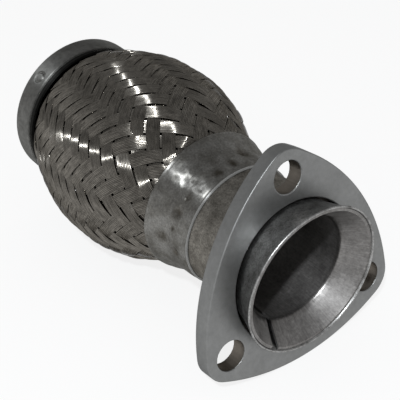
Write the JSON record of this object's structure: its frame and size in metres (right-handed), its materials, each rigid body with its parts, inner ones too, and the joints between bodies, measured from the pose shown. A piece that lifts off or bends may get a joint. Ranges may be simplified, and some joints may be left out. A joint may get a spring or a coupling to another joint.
{
  "type": "exhaust flex pipe",
  "caption": "Short exhaust coupling with a braided flexible bulge between two caps, a flared pipe mouth and a leaning three-hole flange.",
  "frame": {"origin": "centre of the three-hole bolt circle, on the flange's front face", "axes": "+X along the pipe towards the flared mouth, +Z towards the upper bolt hole, +Y towards the bolt hole on the right as seen from the mouth"},
  "size_m": [0.1421, 0.0796, 0.0811],
  "materials": {
    "flange_steel": "satin machined plate",
    "weld_steel": "rough weld bead",
    "pipe_steel": "drawn tube with brown heat tint",
    "sleeve_steel": "rolled sheet with fine scratches",
    "cap_steel": "swaged sheet, polished",
    "bellows_steel": "thin formed sheet",
    "liner_steel": "dark strip",
    "braid_steel": "bright wire ribbons",
    "ring_steel": "plain tube",
    "band_steel": "matt band"
  },
  "bodies": {
    "root": {"flange_plate": "flange_steel", "flange_weld": "weld_steel", "inlet_pipe": "pipe_steel", "seat_sleeve": "sleeve_steel", "front_cap": "cap_steel", "bellows": "bellows_steel", "inner_liner": "liner_steel", "outer_braid": "braid_steel", "rear_inner_ring": "ring_steel", "rear_cap": "band_steel"}
  },
  "joints": []
}
